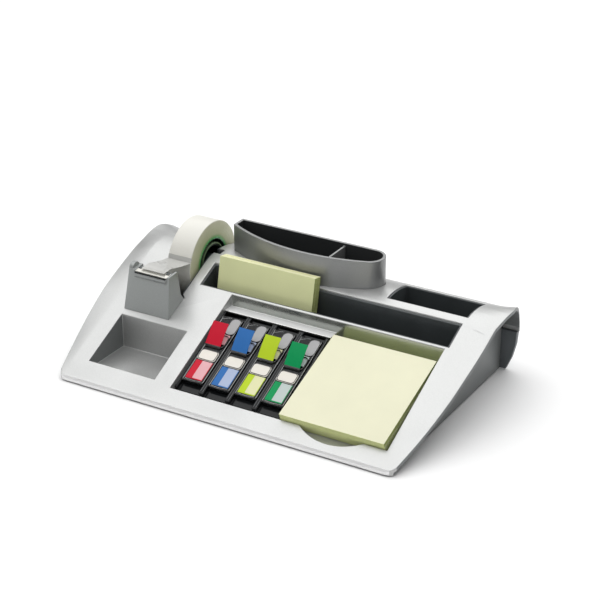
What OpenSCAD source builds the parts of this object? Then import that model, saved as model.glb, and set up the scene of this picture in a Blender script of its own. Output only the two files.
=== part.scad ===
// Desk organiser with a built-in tape dispenser.
// X runs left to right, Y from the front edge to the back, Z up. The origin is
// on the table, under the middle of the body. Inside the modules Y is counted
// from the front edge, and place() moves the piece to the origin.

/* [Body] */
// Width of the body along its front edge
front_w = 256; // [230:1:310]
// Depth from the front edge to the back of the rear curl
depth = 173; // [165:1:210]
// How far each wing flares out past the front width
wing_flare = 15.4; // [6:0.2:18]
// How far each wing draws in again at the rear
wing_tuck = 8.4; // [2:0.2:10]
// Slope of the deck
tilt = 25.3; // [21:0.1:30]
// Height of the front edge
lip_h = 3.9; // [3.6:0.1:6]
// Height of the seam between the deck shell and the base at the back
seam_h = 30; // [24:1:34]
// Thickness of the deck shell
skin = 2.6; // [1.6:0.1:3.2]
// How far each side wall stands in from the front corner
side_inset = 3.5; // [2:0.1:6]
// Thickness of the side walls and pocket walls
wall = 1.7; // [1:0.1:2]
// Distance from the front edge to where the deck starts to roll over
crest_from_back = 63; // [55:1:66]
// Height of the shell's lower edge over the table
ground_gap = 0.8; // [0.4:0.1:1.2]

/* [Clip tray] */
// Width of the clip tray
clip_w = 54; // [40:1:54]
// Length of the clip tray, front to back
clip_l = 39.8; // [30:0.2:40]
// Height of the clip tray's floor over the table
clip_floor = 5.2; // [4.6:0.1:9]

/* [Note tray and index bay] */
// Distance from the front edge to the recess
recess_front = 13.2; // [13.2:0.1:15]
// Width of the index bay
bay_w = 83.1; // [80:0.1:83.1]
// Depth of the index bay below the deck, measured straight down
bay_depth = 8; // [6:0.1:8.4]
// Length of the ledge behind the index bay
ledge_l = 8.7; // [5:0.1:9]
// Height of that ledge below the deck at its back edge
ledge_drop = 8.4; // [4:0.1:8.4]
// Side of the square note pad
pad_w = 76; // [60:0.5:76]
// Thickness of the note pad
pad_t = 9.4; // [4:0.1:10]
// Slope of the note pad
pad_tilt = 20; // [18:0.5:21]
// Side gap between the note pad and its tray
pad_gap = 1.8; // [0.5:0.1:2]
// Width of the finger notch in front of the pad
notch_w = 47; // [30:1:56]
// How far the finger notch reaches forward of the recess
notch_l = 7.4; // [3:0.1:8]

/* [Trough and card slot] */
// Width of the trough
trough_w = 192.3; // [150:0.1:193]
// Length of the trough, front to back
trough_l = 19.4; // [17:0.1:19.4]
// Height of the trough's floor over the table
trough_floor = 15; // [10:0.5:20]
// Width of the card slot
card_w = 60; // [40:1:60]
// Length of the card slot, front to back
card_l = 28; // [16:1:30]
// Height of the card slot's floor over the table
card_floor = 13; // [10:0.5:30]
// Wall thickness of the dark liners
liner_t = 1.2; // [0.8:0.1:1.6]
// Width of the standing note block
block_w = 76; // [60:1:76]
// Height of the standing note block
block_h = 51; // [38:1:60]
// Thickness of the standing note block
block_t = 8; // [3:0.5:8]
// Lean of the standing note block
block_lean = 11.5; // [6:0.5:12]

/* [Pen cup] */
// Width of the pen cup
cup_w = 120; // [100:1:120]
// Length of the pen cup, front to back
cup_l = 30.7; // [26:0.1:31]
// Radius of the cup's bowed front
cup_front_r = 130; // [110:1:160]
// Height of the cup's rim over the table
cup_rim = 79; // [70:1:110]
// Wall thickness of the cup
cup_t = 2.2; // [1.4:0.1:3]
// Height of the cup's floor over the table
cup_floor = 9; // [8:0.5:14]

/* [Tape] */
// Width of the tape
tape_w = 19; // [15:0.5:19]
// Radius of a full roll
roll_r = 29.8; // [22:0.1:30]
// Outer radius of the core
core_r = 17.5; // [15:0.1:18]
// Inner radius of the core
core_bore_r = 12.7; // [11:0.1:13]
// Radius of the axle
axle_r = 3; // [2:0.1:4]
// Length of the axle
axle_l = 35; // [34:0.1:35]
// Height of the axle over the table
axle_z = 50.4; // [48:0.1:52]
// Running clearance of the axle in the hub and its saddles
axle_fit = 0.08; // [0.05:0.01:0.1]
// Inside width of the tape slot
slot_w = 25; // [24:0.1:26]

/* [Cutter tower] */
// Width of the tower at its foot
tower_w = 37.5; // [34:0.1:38]
// Height of the tower's front face
tower_h = 31; // [26:0.5:40]
// Length of the tower's top, front to back
tower_top_l = 10.2; // [8:0.1:12]
// Length of the cutter blade
blade_w = 26; // [21:0.5:27]
// Thickness of the blade
blade_t = 0.6; // [0.4:0.1:0.8]
// Distance between the teeth
tooth_pitch = 1; // [0.8:0.1:1.6]

/* [Flag dispensers] */
// Width of a flag dispenser
flag_case_w = 16.4; // [14:0.1:16.6]
// Length of a flag dispenser
flag_case_l = 58; // [50:0.5:60]
// Height of a flag dispenser's case
flag_case_h = 3; // [2.4:0.1:4]
// Width of the flags
flag_w = 12; // [10:0.1:12.5]
// How far each pulled flag stands up
flag_tab_l = 16.5; // [8:0.5:20]

/* [Base] */
// Thickness of the base plate
base_t = 1.4; // [1:0.1:1.6]
// Radius of the rubber feet
foot_r = 6; // [4:0.5:8]
// Thickness of the steel ballast plate
ballast_t = 3; // [2:0.5:4]
// Radius of the screw shanks
screw_r = 1.4; // [1:0.1:1.6]

/* [Hidden] */
$fn = 64;
FLAGS = ["red", "blue", "lime", "green"];

gap = 0.3;              // play between pieces that lift apart
snug = 0.1;             // play between pieces that are fixed together
far = 120;              // longer than any cut has to be
side_x = front_w / 2 - side_inset;      // outer face of the side walls
crest_y = depth - crest_from_back;      // where the flat deck ends
back_y = depth - 0.5;                   // where the curl meets the seam
steps = 18;                             // straight pieces along the rolled rear

// Layout across the body, counted from the middle
recess_x0 = -front_w / 2 + 82.9;
recess_x1 = recess_x0 + bay_w + pad_w + 2 * pad_gap;
bay_x1 = recess_x0 + bay_w;
clip_x1 = recess_x0 - 14.2;
clip_x0 = clip_x1 - clip_w;
trough_x0 = recess_x0 - 27.2;
trough_x1 = min(trough_x0 + trough_w, side_x - wall - 2);
slot_x1 = trough_x0 - 7.2;
slot_x0 = slot_x1 - slot_w;
tape_x = (slot_x0 + slot_x1) / 2;
card_x1 = min(front_w / 2 - 7, side_x - wall - 1.6);
card_x0 = card_x1 - card_w;
cup_x0 = slot_x1 + 10;
cup_x1 = cup_x0 + cup_w;

// Layout from front to back; the recess is as long as the pad or the dispensers need
insert_s0 = (recess_front + 6.4) / cos(tilt);
flag_s0 = insert_s0 + 6.5;
recess_y1 = max(recess_front + pad_w * cos(pad_tilt) + 6.1,
    (flag_s0 + flag_case_l + 1) * cos(tilt) + ledge_l);
clip_y0 = recess_front + 2.3;
clip_y1 = clip_y0 + clip_l;
trough_y0 = recess_y1 + wall;
trough_y1 = trough_y0 + trough_l;
cup_y0 = trough_y1 + 2;
cup_y1 = cup_y0 + cup_l;
card_y0 = trough_y1 + 6.2;
card_y1 = min(card_y0 + card_l, depth - 20);
tower_y0 = clip_y1 + 4.3;
tower_foot_l = 19;
slot_y0 = tower_y0 + tower_foot_l + gap;
axle_y = slot_y0 + 16 + roll_r;
slot_y1 = axle_y + roll_r + 2.6;

// Height of the flat deck at y, and the curve that rolls it over at the back
function deck_z(y) = lip_h + y * tan(tilt);
function roll_pt(i) = [
    [crest_y, deck_z(crest_y)],
    [crest_y + 26 * cos(tilt), deck_z(crest_y) + 26 * sin(tilt)],
    [depth, seam_h + 22],
    [back_y, seam_h]][i];
function roll_at(t) = pow(1 - t, 3) * roll_pt(0) + 3 * t * pow(1 - t, 2) * roll_pt(1)
    + 3 * t * t * (1 - t) * roll_pt(2) + pow(t, 3) * roll_pt(3);
function roll_dir(t) = let (d = pow(1 - t, 2) * (roll_pt(1) - roll_pt(0))
    + 2 * t * (1 - t) * (roll_pt(2) - roll_pt(1)) + t * t * (roll_pt(3) - roll_pt(2)))
    d / norm(d);
function inward(d) = [d[1], -d[0]];
// The deck's outline from the front edge to the seam, moved inward by o
function deck_line(o, y0) = concat(
    [[y0, deck_z(y0) - o / cos(tilt)]],
    [for (i = [0 : steps]) roll_at(i / steps) + o * inward(roll_dir(i / steps))]);
function reversed(v) = [for (i = [len(v) - 1 : -1 : 0]) v[i]];

// Half the body's width at y: rounded front corner, flare, and rear tuck
corner_r = 5;
flare_y = 0.68 * depth;
tuck_y = 0.75 * depth;
function half_w(y) = front_w / 2
    + wing_flare * (1 - pow(1 - min(y, flare_y) / flare_y, 2))
    - (y > tuck_y ? wing_tuck * pow((y - tuck_y) / (depth - tuck_y), 2.2) : 0)
    - (y < corner_r ? corner_r - sqrt(corner_r * corner_r - pow(corner_r - y, 2)) : 0);

function bay_floor(y) = deck_z(y) - bay_depth;
pad_z0 = 5.33;          // height of the note tray's floor at pad_y0
pad_y0 = recess_front + 2;
function pad_floor(y) = pad_z0 + (y - pad_y0) * tan(pad_tilt);
floor_t = 1.6;          // thickness of the pocket floors

screw_at = [[recess_x0 - 7, 30], [recess_x0 - 7, 82], [slot_x0 - 12.5, axle_y - 15],
            [card_x0 - 5, card_y0 + 12], [card_x1 - 30, depth - 16],
            [cup_x0 + 10, depth - 16]];
boss_r = 3.4;
foot_at = [for (x = [-1, 0, 1], y = [16, depth - 18]) [x * (side_x - 13), y]];
tower_screw_at = [for (x = [-12, 12]) [tape_x + x - 3.5, tower_y0 + 8]];

module place() { translate([0, -back_y / 2, 0]) children(); }
// A Y-Z outline, stretched along X from x0 to x1
module across(x0, x1) {
    translate([x0, 0, 0]) rotate([90, 0, 90]) linear_extrude(x1 - x0) children();
}
module block(x0, x1, y0, y1, z0, z1) {
    translate([x0, y0, z0]) cube([x1 - x0, y1 - y0, z1 - z0]);
}
// Everything that lies at least d below the deck's upper face
module below_deck(d) {
    across(-2 * far, 2 * far)
        polygon(concat([[-1, -1]], deck_line(d, -1), [[back_y - d, -1]]));
}
// Lean a piece so that its underside lies on a slope through y, z
module on_slope(a, y, z) { translate([0, y, z]) rotate([a, 0, 0]) children(); }

// ---- Deck shell: deck, wings, rear curl, side walls and the shallow pockets
module planform() {
    n = 30;
    right = [for (i = [0 : n]) let (y = depth * pow(i / n, 1.6)) [half_w(y), y]];
    linear_extrude(far)
        polygon(concat(right, reversed([for (p = right) [-p[0], p[1]]])));
}
module skin_solid() {
    front_t = 2.5;
    across(-far * 2, far * 2) polygon(concat(
        [[0, ground_gap], [0, lip_h - 1], [1, deck_z(1)]],
        deck_line(0, 2),
        reversed(deck_line(skin, front_t)),
        [[front_t, ground_gap]]));
}
module side_walls() {
    for (s = [-1, 1]) scale([s, 1, 1]) intersection() {
        block(side_x - wall, side_x, corner_r, depth - 6.6, ground_gap, far);
        below_deck(skin / 2);
    }
}
module clip_pocket(o) {
    block(clip_x0 - o, clip_x1 + o, clip_y0 - o, clip_y1 + o,
        clip_floor - (o > 0 ? floor_t : 0), far);
}
module bay_pocket(o, d) {
    ledge_z = deck_z(recess_y1) - ledge_drop;
    y_foot = recess_front + 5.8;
    y_ledge = recess_y1 - ledge_l;
    across(recess_x0 - o, bay_x1 + 0.01 + o) polygon([
        [recess_front - o, far], [recess_front - o, deck_z(recess_front) - d - 0.4],
        [y_foot - 0.3 * o, bay_floor(y_foot) - d], [y_ledge - o, bay_floor(y_ledge) - d],
        [y_ledge - o, ledge_z - d], [recess_y1 + o, ledge_z - d], [recess_y1 + o, far]]);
}
module pad_pocket(o, d) {
    across(bay_x1 - o, recess_x1 + o) polygon([
        [recess_front - o, far], [recess_front - o, pad_floor(recess_front) - d],
        [recess_y1 + o, pad_floor(recess_y1) - d], [recess_y1 + o, far]]);
}
// Scoop in the deck in front of the pad, for a finger
module finger_notch(o) {
    r = (notch_w * notch_w / 4 + notch_l * notch_l) / (2 * notch_l);
    notch_floor = pad_floor(recess_front) + 0.6;
    translate([bay_x1 + pad_w / 2 + pad_gap, recess_front - notch_l + r,
               notch_floor - (o > 0 ? floor_t : 0)])
        intersection() {
            cylinder(r = r + o, h = far, $fn = 128);
            block(-notch_w, notch_w, -r - o, -r + notch_l + 0.5, 0, far);
        }
}
module tape_slot(o) {
    linear_extrude(far) polygon([
        [slot_x0 + o, slot_y0 + o], [slot_x1 + 3.2 - o, slot_y0 + o],
        [slot_x1 - o, slot_y0 + 2.8 + o], [slot_x1 - o, slot_y1 - o],
        [slot_x0 + o, slot_y1 - o]]);
}
module axle_groove(o, reach) {
    for (s = [-1, 1]) axle_track(axle_r + o, s * (axle_l / 2 + reach));
}
module axle_track(r, x) {
    x0 = min(0, x);
    translate([tape_x + x0, axle_y, axle_z]) {
        rotate([0, 90, 0]) cylinder(r = r, h = abs(x));
        translate([0, -r, 0]) cube([abs(x), 2 * r, far]);
    }
}
module deck_shell() {
    color([0.86, 0.87, 0.86]) place() difference() {
        union() {
            intersection() { skin_solid(); planform(); }
            side_walls();
            intersection() {
                below_deck(skin / 2);
                union() {
                    clip_pocket(wall);
                    bay_pocket(wall, floor_t);
                    pad_pocket(wall, floor_t);
                    finger_notch(wall);
                    for (p = screw_at) translate([p[0], p[1], ground_gap + base_t + 3])
                        cylinder(r = boss_r, h = far);
                }
            }
        }
        clip_pocket(0);
        bay_pocket(0, 0);
        pad_pocket(0, 0);
        finger_notch(0);
        tape_slot(0);
        axle_groove(0.3, 0.3);
        block(trough_x0, trough_x1, trough_y0, trough_y1, 0, far);
        block(card_x0, card_x1, card_y0, card_y1, 0, far);
        linear_extrude(far) cup_outline(-snug);
        for (p = screw_at) translate([p[0], p[1], 0])
            cylinder(r = screw_r + 0.02, h = ground_gap + 11);
        for (p = tower_screw_at) translate([p[0], p[1], 0])
            cylinder(r = screw_r + 0.2, h = far);
    }
}

// ---- Base: bottom plate and the rear wall that shows below the curl
module base_housing() {
    rear_y = depth - 4.2;
    top_z = seam_h - 0.3;
    color([0.27, 0.29, 0.31]) place() difference() {
        union() {
            block(-side_x + wall + gap, side_x - wall - gap, 3, rear_y + 1,
                ground_gap, ground_gap + base_t);
            intersection() {
                across(-far * 2, far * 2) polygon([
                    [rear_y - 2.2, ground_gap], [rear_y + 0.6, ground_gap],
                    [depth - 0.6, top_z], [depth - 3.4 - skin / 2, top_z]]);
                rotate([90, 0, 0]) translate([0, 0, -depth - 5]) linear_extrude(2 * far)
                    polygon([
                        [-half_w(0) - 5.7, ground_gap], [half_w(0) + 5.7, ground_gap],
                        [half_w(depth) - 2.6, 10], [half_w(depth) - 0.4, 20],
                        [half_w(depth), top_z], [-half_w(depth), top_z],
                        [-half_w(depth) + 0.4, 20], [-half_w(depth) + 2.6, 10]]);
            }
        }
        for (p = foot_at) translate([p[0], p[1], 0])
            cylinder(r = foot_r + snug, h = ground_gap + base_t / 2);
        for (p = screw_at) translate([p[0], p[1], 0]) {
            cylinder(r = screw_r + 0.2, h = far);
            cylinder(r1 = 2 * screw_r + 0.9, r2 = screw_r + 0.2, h = 2.2);
        }
    }
}

// ---- Dark liners: deep boxes that hang in the deck's openings
module box_liner(x0, x1, y0, y1, z0) {
    intersection() {
        difference() {
            block(x0 + snug, x1 - snug, y0 + snug, y1 - snug, z0 - liner_t, far);
            block(x0 + snug + liner_t, x1 - snug - liner_t,
                y0 + snug + liner_t, y1 - snug - liner_t, z0, far + 1);
        }
        below_deck(0.8);
    }
}
module trough_liner() {
    color([0.16, 0.17, 0.18]) place()
        box_liner(trough_x0, trough_x1, trough_y0, trough_y1, trough_floor);
}
module card_liner() {
    color([0.16, 0.17, 0.18]) place()
        box_liner(card_x0, card_x1, card_y0, card_y1, card_floor);
}
module tape_well() {
    well_floor = axle_z - roll_r - 5;
    saddle_h = 16;
    color([0.18, 0.19, 0.20]) place() difference() {
        union() {
            intersection() {
                translate([0, 0, well_floor - liner_t]) tape_slot(snug);
                below_deck(0.8);
            }
            for (s = [-1, 1]) intersection() {
                translate([tape_x + s * (slot_w / 2 + 3), axle_y, axle_z + saddle_h / 4])
                    cube([6.6, 4 * axle_r, saddle_h], center = true);
                below_deck(skin + 2 * snug);
            }
        }
        translate([0, 0, well_floor]) tape_slot(snug + liner_t);
        axle_groove(axle_fit, 0.3);
    }
}

// ---- Pen cup, with one cross wall
cup_bow = [cup_x0 + 0.56 * cup_w, cup_y0 + cup_front_r];   // centre of the bowed front
// The right end is the circle that touches the bow, the right side and the back
function cup_end() = let (a = cup_x1 - cup_bow[0], b = cup_bow[1] - cup_y1,
    c = b - a + cup_front_r)
    sqrt(c * c - a * a - b * b + cup_front_r * cup_front_r) - c;
module cup_outline(o) {
    r = cup_end();
    end = [cup_x1 - r, cup_y1 - r];
    past = cup_bow + 1.2 * cup_front_r / (cup_front_r - r) * (end - cup_bow);
    intersection() {
        translate(cup_bow) circle(r = cup_front_r - o, $fn = 200);
        polygon([[cup_x0 + o, past[1]], past, end, [end[0], cup_y1 - o],
            [cup_x0 + o, cup_y1 - o]]);
    }
    translate(end) circle(r = r - o);
}
module pen_cup() {
    divider_x = cup_x0 + 0.7 * cup_w;
    color([0.55, 0.56, 0.56]) place() {
        difference() {
            translate([0, 0, cup_floor - cup_t]) linear_extrude(cup_rim - cup_floor + cup_t)
                cup_outline(0);
            translate([0, 0, cup_floor]) linear_extrude(far) cup_outline(cup_t);
        }
        intersection() {
            translate([0, 0, cup_floor]) linear_extrude(cup_rim - 2 - cup_floor)
                cup_outline(cup_t / 2);
            translate([divider_x - 0.8, 0, 0]) cube([1.6, 2 * far, far]);
        }
    }
}

// ---- Black insert with four channels for the flag dispensers
insert_t = 1.2;
insert_l = (recess_y1 - ledge_l - gap) / cos(tilt) - insert_s0;
channel_pitch = (bay_w - 2 * gap) / len(FLAGS);
rib_t = channel_pitch - flag_case_w - 2 * gap;
module in_bay() {
    on_slope(tilt, 0, lip_h - bay_depth + snug) children();
}
module index_insert() {
    color([0.06, 0.06, 0.07]) place() in_bay() {
        translate([recess_x0 + gap, insert_s0, 0])
            cube([bay_w - 2 * gap, insert_l, insert_t]);
        for (i = [0 : len(FLAGS)])
            translate([recess_x0 + gap + max(0, i * channel_pitch - rib_t / 2), insert_s0, 0])
                cube([(i == 0 || i == len(FLAGS)) ? rib_t / 2 : rib_t, insert_l,
                      insert_t + flag_case_h]);
    }
}

// ---- Cutter tower, blade and its screws
tower_x0 = tape_x - tower_w / 2 - 3.8;
tower_x1 = tower_x0 + tower_w;
tower_top = deck_z(tower_y0) + tower_h;
seat_z = tower_top - 1.2;               // where the tape is pressed down
blade_x0 = tape_x - blade_w / 2;
module tower_side() {
    foot_y1 = tower_y0 + tower_foot_l;
    polygon([
        [tower_y0, deck_z(tower_y0) + 0.02], [tower_y0 + 2, tower_top],
        [tower_y0 + 2 + tower_top_l, tower_top + 0.8],
        [tower_y0 + 3.8 + tower_top_l, tower_top - 6.5],
        [tower_y0 + 5.6 + tower_top_l, tower_top - 17.4],
        [foot_y1, deck_z(foot_y1) + 0.02]]);
}
module cutter_tower() {
    lean = 4.3;
    ear_r = 4.4;
    lip_z = tower_top - 3;
    color([0.58, 0.60, 0.59]) place() difference() {
        union() {
            intersection() {
                across(tower_x0, tower_x1) tower_side();
                rotate([90, 0, 0]) translate([0, 0, -2 * far]) linear_extrude(3 * far)
                    polygon([[tower_x0, 0], [tower_x0, deck_z(tower_y0)],
                        [tower_x0 + lean, tower_top], [tower_x0 + lean, far],
                        [tower_x1, far], [tower_x1, 0]]);
            }
            translate([tower_x0 + lean, tower_y0 + 2 + ear_r, tower_top - 0.6])
                rotate([0, 90, 0]) cylinder(r = ear_r, h = 3.2);
            translate([blade_x0, tower_y0 + 2.4, lip_z]) rotate([0, 90, 0])
                cylinder(r = 2, h = blade_w);
        }
        block(blade_x0 - gap, blade_x0 + blade_w + gap, 0, 2 * far, seat_z, far);
        for (p = tower_screw_at) translate([p[0], p[1], 0])
            cylinder(r = screw_r + 0.02, h = deck_z(p[1]) + 10);
    }
}
module cutter_blade() {
    blade_l = 5.6;
    tooth_h = 0.9;
    n = floor(blade_w / tooth_pitch);
    teeth = [for (i = [0 : 2 * n]) [i * blade_w / (2 * n), i % 2 == 0 ? 0 : -tooth_h]];
    color([0.78, 0.78, 0.76]) place()
        translate([blade_x0, tower_y0 + 2.2, seat_z + 2 * snug]) rotate([8, 0, 0])
            linear_extrude(blade_t)
                polygon(concat(teeth, [[blade_w, blade_l], [0, blade_l]]));
}
module tower_screws() {
    color("silver") place() for (p = tower_screw_at) {
        head_z = deck_z(p[1]) - skin / cos(tilt) - 3.4;
        translate([p[0], p[1], head_z]) {
            cylinder(r = screw_r, h = skin + 10);
            translate([0, 0, -1.6]) cylinder(r = 2 * screw_r, h = 1.6);
        }
    }
}

// ---- Tape: axle, hub, core, wound tape and the end that lies on the blade
module tape_ring(r0, r1, w) {
    translate([tape_x - w / 2, axle_y, axle_z]) rotate([0, 90, 0]) difference() {
        cylinder(r = r1, h = w, $fn = 128);
        translate([0, 0, -1]) cylinder(r = r0, h = w + 2, $fn = 128);
    }
}
module hub_axle() {
    color([0.12, 0.12, 0.13]) place() {
        translate([tape_x - axle_l / 2, axle_y, axle_z]) rotate([0, 90, 0])
            cylinder(r = axle_r, h = axle_l);
    }
}
module tape_hub() {
    rim_t = 1.4;
    color([0.08, 0.10, 0.09]) place() {
        tape_ring(axle_r + axle_fit, axle_r + 2, tape_w - 1);
        tape_ring(core_bore_r - snug / 2 - rim_t, core_bore_r - snug / 2, tape_w - 1);
        tape_ring(axle_r + 1.5, core_bore_r - rim_t, 2);
    }
}
module tape_core() {
    ring_t = 1.2;
    color([0.05, 0.16, 0.09]) place() {
        tape_ring(core_bore_r, core_bore_r + ring_t, tape_w);
        tape_ring(core_r - ring_t, core_r, tape_w);
        tape_ring(core_bore_r + ring_t / 2, core_r - ring_t / 2, 1.6);
    }
}
module tape_roll() {
    color([0.90, 0.90, 0.84]) place() tape_ring(core_r + 0.01, roll_r, tape_w);
}
module tape_tail() {
    film = 0.3;
    peel_z = axle_z + 8.8;
    peel_y = axle_y - sqrt(pow(roll_r + gap, 2) - pow(peel_z - axle_z, 2));
    rear_y = tower_y0 + 2 + tower_top_l;
    over = seat_z + blade_t + 1.2;
    line = [[tower_y0 + 1, over], [rear_y - 2, over], [peel_y - 0.4, peel_z]];
    color([0.88, 0.88, 0.84]) place() across(tape_x - tape_w / 2, tape_x + tape_w / 2)
        polygon(concat(line, reversed([for (p = line) p + [0, film]])));
}

// ---- Paper: flat pad in its tray and the block standing in the trough
module note_pad() {
    color([0.95, 0.94, 0.76]) place()
        translate([bay_x1 + pad_gap, 0, 0]) on_slope(pad_tilt, pad_y0, pad_z0 + 0.37)
            cube([pad_w, pad_w, pad_t]);
}
module note_block() {
    color([0.78, 0.80, 0.56]) place()
        translate([trough_x0 + liner_t + 8.3, trough_y0 + liner_t + gap + snug,
                   trough_floor + gap + block_t * sin(block_lean)])
            rotate([-block_lean, 0, 0]) cube([block_w, block_t, block_h]);
}

// ---- Flag dispensers: case, cover with its window, and the flags
flag_x0 = recess_x0 + gap + rib_t / 2 + gap;
flag_colours = [[0.80, 0.10, 0.20], [0.20, 0.42, 0.70], [0.73, 0.82, 0.16], [0.0, 0.55, 0.30]];
module in_channel(i) {
    place() in_bay() translate([flag_x0 + i * channel_pitch, flag_s0, insert_t + gap])
        children();
}
case_floor = 0.7;
module flag_case(i) {
    color([0.35, 0.36, 0.37, 0.5]) in_channel(i) difference() {
        cube([flag_case_w, flag_case_l, flag_case_h]);
        translate([flag_rim, flag_rim, case_floor])
            cube([flag_case_w - 2 * flag_rim, flag_case_l - 2 * flag_rim, flag_case_h]);
    }
}
window_s = 0.51;        // where along the case the flags come out
flag_rim = 0.8;         // thickness of the case's rim
module flag_cover(i) {
    cover_t = 0.6;
    slit_l = 4.5;
    color([0.75, 0.76, 0.77, 0.5]) in_channel(i)
        translate([0, 0, flag_case_h + 0.02]) difference() {
            cube([flag_case_w, flag_case_l, cover_t]);
            translate([flag_rim + 0.1, window_s * flag_case_l, -1])
                cube([flag_w + 0.8, slit_l, cover_t + 2]);
        }
}
module flags(i) {
    stack_h = flag_case_h - case_floor - 0.4;
    tab_t = 0.5;
    tab_rise = 2.6;     // how far the pulled flag rises before it leans back
    tab_lean = 23;      // slope of the pulled flag over the deck
    bend = [window_s * flag_case_l + 2, stack_h + tab_rise];
    tip = bend + flag_tab_l * [cos(tab_lean), sin(tab_lean)];
    line = [bend - [1.4, tab_rise + snug], bend, tip];
    color(flag_colours[i]) in_channel(i) translate([flag_rim + 0.5, 0, case_floor]) {
        translate([0, 2, 0]) cube([flag_w, flag_case_l - 4, stack_h]);
        across(0, flag_w)
            polygon(concat(line, reversed([for (p = line) p + tab_t * [-0.3, 0.95]])));
    }
}

// ---- Inside and underneath
module ballast_plate() {
    z0 = ground_gap + base_t + 0.05;
    color([0.45, 0.45, 0.47]) place() difference() {
        block(cup_x0, card_x1 - 1, trough_y0 - 20, depth - 22, z0, z0 + ballast_t);
        for (p = screw_at) translate([p[0], p[1], 0]) cylinder(r = boss_r + 1, h = far);
    }
}
module rubber_feet() {
    color([0.10, 0.10, 0.10]) place() for (p = foot_at)
        translate([p[0], p[1], 0]) cylinder(r = foot_r, h = ground_gap + base_t / 2 - 0.02);
}
module base_screws() {
    color("silver") place() for (p = screw_at) translate([p[0], p[1], ground_gap + 0.1]) {
        cylinder(r = screw_r, h = 9);
        cylinder(r1 = 2 * screw_r, r2 = screw_r, h = screw_r);
    }
}

deck_shell();
base_housing();
trough_liner();
card_liner();
tape_well();
pen_cup();
index_insert();
cutter_tower();
cutter_blade();
ballast_plate();
rubber_feet();
base_screws();
tower_screws();
hub_axle();
tape_hub();
tape_core();
tape_roll();
tape_tail();
note_pad();
note_block();
for (i = [0 : len(FLAGS) - 1]) {
    flag_case(i);
    flag_cover(i);
    flags(i);
}
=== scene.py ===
# %% [markdown]
# # A silver desk organiser with a tape dispenser
# The real object is one sloping silver moulding. It holds a roll of tape behind a toothed cutter,
# a pen cup, a long trough, a tray for clips, a square pad of notes and four small flag dispensers.
# The mechanical model is already made: every casing, axle and tray is where it has to be. Here each
# of them gets its finished surface. Nothing is moved or resized, so the model loads first, and its
# box is kept to find the front edge.

# %% Load the mechanical model
import math
import random

import bmesh
import bpy
from mathutils import Matrix, Vector


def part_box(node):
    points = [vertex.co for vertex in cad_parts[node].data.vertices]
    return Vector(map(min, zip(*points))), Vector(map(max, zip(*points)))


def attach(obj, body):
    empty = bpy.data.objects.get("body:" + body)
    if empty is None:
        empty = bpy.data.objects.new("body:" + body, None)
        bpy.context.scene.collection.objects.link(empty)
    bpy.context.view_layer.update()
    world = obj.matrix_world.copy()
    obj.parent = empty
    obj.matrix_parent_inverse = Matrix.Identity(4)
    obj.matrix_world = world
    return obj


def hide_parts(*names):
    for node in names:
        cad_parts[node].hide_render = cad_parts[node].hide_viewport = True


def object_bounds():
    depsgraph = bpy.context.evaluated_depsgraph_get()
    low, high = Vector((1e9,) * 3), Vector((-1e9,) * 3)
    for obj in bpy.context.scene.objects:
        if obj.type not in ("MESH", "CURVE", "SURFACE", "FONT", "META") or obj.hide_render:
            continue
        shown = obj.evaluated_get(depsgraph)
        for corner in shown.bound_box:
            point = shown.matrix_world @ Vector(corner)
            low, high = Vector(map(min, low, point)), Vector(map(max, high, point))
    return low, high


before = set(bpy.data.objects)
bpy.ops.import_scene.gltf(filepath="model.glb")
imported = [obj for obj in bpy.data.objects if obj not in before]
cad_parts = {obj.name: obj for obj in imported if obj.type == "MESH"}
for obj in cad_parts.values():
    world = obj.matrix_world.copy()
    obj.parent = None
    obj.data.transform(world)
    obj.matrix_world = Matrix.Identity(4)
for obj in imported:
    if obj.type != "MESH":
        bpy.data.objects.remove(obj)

cad_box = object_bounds()
MM = 0.001
scene = bpy.context.scene

# %% [markdown]
# ## The camera
# A product photographer stands well back with a long lens, because that keeps the far corner almost
# as large as the near one. We could aim an empty and track to it, but a yaw and a pitch are easier
# to read: the camera looks down by the pitch and is turned to the left by the yaw.

# %% Place the camera
CAMERA_AT = Vector((545.1, -907.6, 558.6)) * MM
YAW = math.radians(30.43)
PITCH = math.radians(25.43)
SENSOR_WIDTH = 36
FOCAL_LENGTH = 104.5

lens = bpy.data.cameras.new("studio_lens")
lens.sensor_width = SENSOR_WIDTH
lens.lens = FOCAL_LENGTH
camera = bpy.data.objects.new("studio_camera", lens)
camera.location = CAMERA_AT
camera.rotation_euler = (math.pi / 2 - PITCH, 0, YAW)
scene.collection.objects.link(camera)
scene.camera = camera
print("camera to object:", round(CAMERA_AT.length, 3), "m")

# %% [markdown]
# ## Studio light and floor
# Silver plastic only looks like silver when it has something bright to mirror, so the real studio
# hangs one very large soft box over the back of the table. Its light falls on the sloping deck and
# leaves the walls that face forward in a calm half shade. A white table throws some of it back up.
# Small lamps would give hard, spotty highlights here, so every lamp is a wide panel.

# %% Hang the soft boxes
ROOM_GLOW = 0.30


def soft_box(name, place, aim, size, power):
    lamp = bpy.data.lights.new(name, "AREA")
    lamp.shape = "RECTANGLE"
    lamp.size = size[0]
    lamp.size_y = size[1]
    lamp.energy = power
    box = bpy.data.objects.new(name, lamp)
    box.location = place
    box.rotation_euler = (Vector(aim) - Vector(place)).to_track_quat("-Z", "Y").to_euler()
    scene.collection.objects.link(box)


soft_box("overhead_box", place=(-0.20, 0.75, 1.30), aim=(-0.20, 0.75, 0), size=(2.2, 3.2),
         power=40)
soft_box("left_fill", place=(-1.3, -0.45, 0.75), aim=(0, 0, 0.03), size=(0.8, 0.8), power=1.5)

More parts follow.
